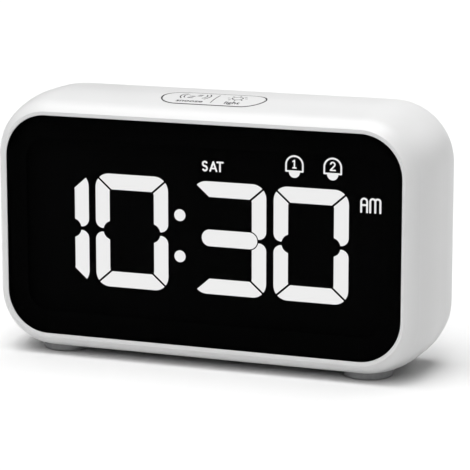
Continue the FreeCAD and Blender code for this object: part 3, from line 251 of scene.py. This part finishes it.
def board_look():
    """Green solder mask over copper tracks."""
    look = Look("circuit_board", BOARD_GREENS["Color1"], 0.3)
    bricks = look.tree.nodes.new("ShaderNodeTexBrick")
    bricks.inputs["Scale"].default_value = TRACK_SCALE
    bricks.inputs["Mortar Size"].default_value = TRACK_WIDTH
    for socket, green in BOARD_GREENS.items():
        bricks.inputs[socket].default_value = (*green, 1.0)
    turn = look.tree.nodes.new("ShaderNodeMapping")
    turn.inputs["Rotation"].default_value = (math.radians(90), 0.0, 0.0)
    look.link(look.place, turn.inputs["Vector"])
    look.link(turn.outputs["Vector"], bricks.inputs["Vector"])
    look.link(bricks.outputs["Color"], look.shader.inputs["Base Color"])
    return look.grain(2.0, 0.01)


def pane_look():
    """The smoked pane: black, glossy and see-through, so that only lit marks show behind it."""
    look = Look("smoked_lens", BLACK, 0.05, specular=0.01)
    return look.set("Alpha", PANE_ALPHA)


def lit_look():
    """The lit segments, which only glow."""
    look = Look("lit_white", (0.0, 0.0, 0.0), 0.6, specular=0.0)
    look.set("Emission Color", (*WHITE, 1.0))
    return look.set("Emission Strength", LIT_STRENGTH)


def cell_look(node):
    """A battery's printed sleeve: steel ends, a green body and a gold band at the button end."""
    low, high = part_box(node)
    button_right = low.x + high.x > 0
    look = Look(node + "_sleeve", SLEEVE_GREEN, 0.3)
    across = look.tree.nodes.new("ShaderNodeSeparateXYZ")
    look.link(look.place, across.inputs["Vector"])
    start, stop = (low.x, high.x) if button_right else (high.x, low.x)
    share = look.spread(across.outputs["X"], 0.0, 1.0, start, stop)
    sleeve = [(SLEEVE_START, SLEEVE_GREEN), (BAND_START, BAND_GOLD), (SLEEVE_END, STEEL)]
    look.bands(share, [(0.0, STEEL)] + sleeve)
    ends = look.ramp(share, [(0.0, WHITE), (SLEEVE_START, SLEEVE_METALLIC), (SLEEVE_END, WHITE)])
    look.link(ends, look.shader.inputs["Metallic"])
    return look.grain(4.0, 0.004)


looks = {slot: finish_look(slot) for slot in FINISHES}
looks["circuit_board"] = board_look()
looks["smoked_lens"] = pane_look()
looks["lit_white"] = lit_look()
lens_low, lens_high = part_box("front_lens")
# Painted shade: inside this box the white shell is coloured black, where its ledge would otherwise show lit
# through the pane.
paint_inside(looks["white_shell"], lens_low + Vector((LEDGE_MARGIN, LENS_DEPTH, LEDGE_MARGIN)),
             lens_high + Vector((-LEDGE_MARGIN, LEDGE_REACH, -LEDGE_MARGIN)), BLACK)


def paint_nodes():
    """Gives every CAD node the look of its slot."""
    for part in frame["record"]["subparts"]:
        name, slot = part["node"], part["material_slot"]
        look = cell_look(name) if slot == "cell_sleeve" else looks[slot]
        mesh = nodes[name].data
        mesh.materials.clear()
        mesh.materials.append(look.material)


paint_nodes()


# ---- printed marks, in mm on their face ----------------------------------------------------------------
# How far the ink's top and its hidden underside lie from the surface, and the longest run of a stroke.
INK_LIFT, INK_SINK = 0.01, -0.03
STROKE_STEP = 0.35
# A stroke whose ends are this near each other is a loop.
CLOSED_WITHIN = 1e-6
# In metres: how far outside the surface the search for it starts.
CAST_START = 20.0 * MM
# In the font's own units: curve steps and extra weight. In radians: bends too slight to keep.
LETTER_STEPS, LETTER_BOLD = 4, 0.02
FLAT_WITHIN = 0.01


class Face:
    """A surface of the clock that marks are laid on, by (right, up) seen from outside, in mm."""

    def __init__(self, origin, right, up, out, skin=None):
        self.origin, self.right, self.up, self.out = (Vector(v) for v in (origin, right, up, out))
        self.tree = None
        if skin is not None:
            mesh = nodes[skin].data
            corners = [vertex.co for vertex in mesh.vertices]
            self.tree = BVHTree.FromPolygons(corners, [polygon.vertices[:] for polygon in mesh.polygons])

    def put(self, a, b, lift_mm):
        """The point at (a, b), dropped onto the skin where there is one and lifted off it."""
        spot = self.origin + (self.right * a + self.up * b) * MM
        if self.tree is not None:
            hit = self.tree.ray_cast(spot + self.out * CAST_START, -self.out)[0]
            spot = hit if hit is not None else spot
        return spot + self.out * lift_mm * MM


def arc(centre, radius, start, stop, steps=18):
    """Points along an arc, in degrees counted from the right and upwards."""
    points = []
    for step in range(steps + 1):
        angle = math.radians(start + (stop - start) * step / steps)
        points.append((centre[0] + radius * math.cos(angle), centre[1] + radius * math.sin(angle)))
    return points


def ring(centre, radius):
    """Points round a whole circle, ending where they start."""
    return arc(centre, radius, 0, 360, steps=32)


def resample(points):
    """Divides the runs between the points so that a stroke can follow a curved surface."""
    fine = []
    for (ax, ay), (bx, by) in zip(points, points[1:]):
        count = max(1, math.ceil(math.hypot(bx - ax, by - ay) / STROKE_STEP))
        fine += [(ax + (bx - ax) * k / count, ay + (by - ay) * k / count) for k in range(count)]
    return fine + [points[-1]]


def add_stroke(build, face, points, width):
    """A thin solid ribbon along the points. It is a loop where the last point is the first."""
    closed = math.dist(points[0], points[-1]) < CLOSED_WITHIN
    line = resample(points)
    if closed:
        line = line[:-1]
    count = len(line)
    rows = []
    for i, (a, b) in enumerate(line):
        before = line[(i - 1) % count] if closed or i else line[i]
        after = line[(i + 1) % count] if closed or i < count - 1 else line[i]
        da, db = after[0] - before[0], after[1] - before[1]
        length = math.hypot(da, db) or 1.0
        sa, sb = -db / length * width / 2, da / length * width / 2
        rows.append([build.verts.new(face.put(a + s * sa, b + s * sb, lift))
                     for s, lift in ((-1, INK_SINK), (1, INK_SINK), (1, INK_LIFT), (-1, INK_LIFT))])
    for i in range(count if closed else count - 1):
        one, two = rows[i], rows[(i + 1) % count]
        for k in range(4):
            build.faces.new((one[k], one[(k + 1) % 4], two[(k + 1) % 4], two[k]))
    if not closed:
        build.faces.new(rows[0])
        build.faces.new(rows[-1][::-1])


def add_patch(build, face, outline):
    """A filled closed outline, as a thin plate."""
    low = [build.verts.new(face.put(a, b, INK_SINK)) for a, b in outline]
    high = [build.verts.new(face.put(a, b, INK_LIFT)) for a, b in outline]
    count = len(outline)
    build.faces.new(low[::-1])
    build.faces.new(high)
    for i in range(count):
        j = (i + 1) % count
        build.faces.new((low[i], low[j], high[j], high[i]))


def add_word(build, face, text, left, baseline, height, width):
    """Printed letters from left to left + width, where height is the letters' full line height."""
    curve = bpy.data.curves.new("letters", "FONT")
    curve.body = text
    curve.resolution_u = LETTER_STEPS
    curve.offset = LETTER_BOLD
    holder = bpy.data.objects.new("letters", curve)
    bpy.context.scene.collection.objects.link(holder)
    mesh = bpy.data.meshes.new_from_object(holder.evaluated_get(bpy.context.evaluated_depsgraph_get()))
    bpy.data.objects.remove(holder)
    bpy.data.curves.remove(curve)
    xs = [v.co.x for v in mesh.vertices]
    stretch = width / (max(xs) - min(xs))
    flat = bmesh.new()
    flat.from_mesh(mesh)
    bmesh.ops.dissolve_limit(flat, angle_limit=FLAT_WITHIN, verts=flat.verts, edges=flat.edges)
    spots = {}
    for vert in flat.verts:
        a = left + (vert.co.x - min(xs)) * stretch
        b = baseline + vert.co.y * height
        spots[vert] = [build.verts.new(face.put(a, b, lift)) for lift in (INK_SINK, INK_LIFT)]
    for polygon in flat.faces:
        build.faces.new([spots[v][1] for v in polygon.verts])
        build.faces.new([spots[v][0] for v in reversed(polygon.verts)])
    for edge in flat.edges:
        if len(edge.link_faces) == 1:
            loop = edge.link_loops[0]
            first, second = loop.vert, loop.link_loop_next.vert
            build.faces.new((spots[first][0], spots[second][0], spots[second][1], spots[first][1]))
    flat.free()
    bpy.data.meshes.remove(mesh)


def make_marks(name, body, look, face, strokes=(), patches=(), words=()):
    """One object with all the strokes, patches and words of a face."""
    build = bmesh.new()
    for points, width in strokes:
        add_stroke(build, face, points, width)
    for outline in patches:
        add_patch(build, face, outline)
    for word in words:
        add_word(build, face, *word)
    bmesh.ops.recalc_face_normals(build, faces=build.faces)
    mesh = bpy.data.meshes.new(name)
    build.to_mesh(mesh)
    build.free()
    mesh.materials.append(look.material)
    piece = bpy.data.objects.new(name, mesh)
    bpy.context.scene.collection.objects.link(piece)
    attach(piece, body)


grey_ink = Look("grey_ink", (0.035, 0.035, 0.037), 0.7, specular=0.1).mottle(0.6, 0.15).grain(0.2, 0.002)


# ---- marks on the snooze key, in mm from the key's middle ----------------------------------------------
KEY_INK = 0.34
DIVIDER = [(0.65, -4.5), (0.65, 3.7)]
DIVIDER_INK = 0.28
# The snooze icon: its middle, its pairs of sound arcs, and the small figures (right, up, size) in it.
NAP = (-6.1, 1.1)
ARC_SHIFT, ARC_RADII, ARC_SWING = 0.3, (3.2, 4.3), 42
Z_FIGURES = ((-0.95, -1.1, 1.9), (1.15, 0.9, 1.5))
# The light icon: a small sun with its rays.
SUN = (7.1, 0.9)
SUN_RADIUS = 1.6
RAY_COUNT, RAY_ENDS = 8, (2.25, 3.1)
# Each word: text, left, baseline, line height, width.
KEY_WORDS = [("snooze", -10.2, -4.75, 2.5, 8.3), ("light", 4.8, -4.65, 2.7, 4.7)]


def nap_strokes():
    """Nested arcs to the left and right of two small z figures."""
    strokes = []
    for side, middle in ((-1, 180), (1, 0)):
        for radius in ARC_RADII:
            centre = (NAP[0] + side * ARC_SHIFT, NAP[1])
            strokes.append((arc(centre, radius, middle - ARC_SWING, middle + ARC_SWING), KEY_INK))
    for x, y, size in Z_FIGURES:
        a, b, half = NAP[0] + x, NAP[1] + y, size / 2
        corners = ((-1, 1), (1, 1), (-1, -1), (1, -1))
        strokes.append(([(a + p * half, b + q * half) for p, q in corners], KEY_INK))
    return strokes


def sun_strokes():
    """A ring with rays round it."""
    strokes = [(ring(SUN, SUN_RADIUS), KEY_INK)]
    for turn in range(RAY_COUNT):
        angle = math.radians(turn * 360 / RAY_COUNT)
        ray = [(SUN[0] + reach * math.cos(angle), SUN[1] + reach * math.sin(angle)) for reach in RAY_ENDS]
        strokes.append((ray, KEY_INK))
    return strokes


def snooze_marks():
    """The printing on the top key, which follows the key's crowned top."""
    low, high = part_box("snooze_key")
    middle = (low + high) / 2
    face = Face((middle.x, middle.y, high.z), (1, 0, 0), (0, 1, 0), (0, 0, 1), "snooze_key")
    strokes = [(DIVIDER, DIVIDER_INK)] + nap_strokes() + sun_strokes()
    make_marks("snooze_marks", "snooze_button", grey_ink, face, strokes, (), KEY_WORDS)


snooze_marks()


# ---- marks on the back, in mm from the middle of the body, seen from behind ------------------------------
LABEL_RISE = 5.0
ICON_INK, FIGURE_INK = 0.26, 0.24
BELL_RADIUS, BELL_DROP = 1.5, 1.3
CLAPPER_RADIUS, CLAPPER_DROP = 0.6, 1.5
FIGURE_LOW = 0.8
DIAL_RADIUS = 1.6
TRIANGLE_HALF, TRIANGLE_TIP = 1.5, 1.3


def bell_strokes(a, b, figure):
    """A small bell over a clapper, with the figure 1 or 2 in it."""
    base = b - BELL_DROP
    walls = [(a - BELL_RADIUS, base), (a + BELL_RADIUS, base), (a + BELL_RADIUS, b)]
    strokes = [(arc((a, b), BELL_RADIUS, 0, 180) + walls, ICON_INK)]
    strokes.append((arc((a, b - CLAPPER_DROP), CLAPPER_RADIUS, 180, 360), ICON_INK))
    if figure == 1:
        strokes.append(([(a - 0.3, b + 0.45), (a, b + 0.75), (a, b - FIGURE_LOW)], FIGURE_INK))
    else:
        hook = arc((a, b + 0.32), 0.42, 160, -40)
        foot = [(a - 0.42, b - FIGURE_LOW), (a + 0.45, b - FIGURE_LOW)]
        strokes.append((hook + foot, FIGURE_INK))
    return strokes


def rear_marks():
    """A mark over each rear key: numbered bells, a clock dial, and triangles up and down."""
    cover_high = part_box("rear_cover")[1]
    face = Face((0.0, cover_high.y, front_middle.z), (-1, 0, 0), (0, 0, 1), (0, 1, 0))
    strokes, patches = [], []
    for key in ("alarm_1", "alarm_2", "mode", "up", "down"):
        key_low, key_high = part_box("key_" + key)
        a = -(key_low.x + key_high.x) / 2 / MM
        b = (key_high.z - front_middle.z) / MM + LABEL_RISE
        if key.startswith("alarm"):
            strokes += bell_strokes(a, b, int(key[-1]))
        elif key == "mode":
            strokes.append((ring((a, b), DIAL_RADIUS), ICON_INK))
            strokes.append(([(a, b + 1.0), (a, b), (a + 0.75, b - 0.45)], FIGURE_INK))
        else:
            tip = TRIANGLE_TIP if key == "up" else -TRIANGLE_TIP
            patches.append([(a - TRIANGLE_HALF, b - tip), (a + TRIANGLE_HALF, b - tip), (a, b + tip)])
    make_marks("rear_marks", "case", grey_ink, face, strokes, patches)


rear_marks()


# ---- marks in the battery bay, in mm from the middle of the body, seen from behind ------------------------
SIGN_PLACE = 18.0
SIGN_HALF = 1.2
SIGN_INK = 0.4
SIGN_CLEAR = 0.21


def bay_marks():
    """Plus and minus signs on the floor of the bay, under the ends of each cell."""
    strokes = []
    cell_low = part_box("battery_1")[0]
    face = Face((0.0, cell_low.y, front_middle.z), (-1, 0, 0), (0, 0, 1), (0, 1, 0), "rear_cover")
    for cell in ("battery_1", "battery_2", "battery_3"):
        low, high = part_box(cell)
        b = ((low.z + high.z) / 2 - front_middle.z) / MM
        button = -1 if low.x + high.x > 0 else 1
        for side, plus in ((button, True), (-button, False)):
            a = side * SIGN_PLACE
            strokes.append(([(a - SIGN_HALF, b), (a + SIGN_HALF, b)], SIGN_INK))
            if plus:
                strokes.append(([(a, b - SIGN_HALF), (a, b - SIGN_CLEAR)], SIGN_INK))
                strokes.append(([(a, b + SIGN_CLEAR), (a, b + SIGN_HALF)], SIGN_INK))
    make_marks("bay_marks", "case", grey_ink, face, strokes)


bay_marks()


# ---- studio ------------------------------------------------------------------------------------------
def make_floor():
    """A plain pale sheet that the clock stands on."""
    mesh = bpy.data.meshes.new("floor")
    corners = ((-1, -1), (1, -1), (1, 1), (-1, 1))
    mesh.from_pydata([(x * FLOOR_HALF, y * FLOOR_HALF, 0.0) for x, y in corners], [], [(0, 1, 2, 3)])
    floor = bpy.data.objects.new("floor", mesh)
    bpy.context.scene.collection.objects.link(floor)
    paper = Look("floor_paper", (0.79, 0.79, 0.79), 0.9, specular=0.1).mottle(200.0, 0.004)
    mesh.materials.append(paper.material)


def make_world():
    """A weak even sky."""
    world = bpy.data.worlds.new("studio")
    world.use_nodes = True
    background = world.node_tree.nodes["Background"]
    background.inputs["Color"].default_value = (*WHITE, 1.0)
    background.inputs["Strength"].default_value = WORLD_STRENGTH
    bpy.context.scene.world = world


def make_suns():
    """The soft distant lights."""
    for name, (around, above, width, strength) in SUNS.items():
        light = bpy.data.lights.new(name, "SUN")
        light.angle = math.radians(width)
        light.energy = strength
        turn, rise = math.radians(around), math.radians(above)
        towards = Vector((math.sin(turn) * math.cos(rise), -math.cos(turn) * math.cos(rise), math.sin(rise)))
        holder = bpy.data.objects.new(name, light)
        holder.location = front_middle + towards
        holder.rotation_euler = towards.to_track_quat("Z", "Y").to_euler()
        bpy.context.scene.collection.objects.link(holder)


def make_camera():
    """The camera, looking at the clock from its right and from above."""
    data = bpy.data.cameras.new("camera")
    data.lens = CAMERA_LENS
    data.sensor_width = SENSOR_WIDTH
    camera = bpy.data.objects.new("camera", data)
    camera.location = front_middle + CAMERA_OFFSET
    camera.rotation_euler = (AIM_OFFSET - CAMERA_OFFSET).to_track_quat("-Z", "Y").to_euler()
    bpy.context.scene.collection.objects.link(camera)
    bpy.context.scene.camera = camera


make_floor()
make_world()
make_suns()
make_camera()
bpy.context.scene.view_settings.view_transform = "Standard"
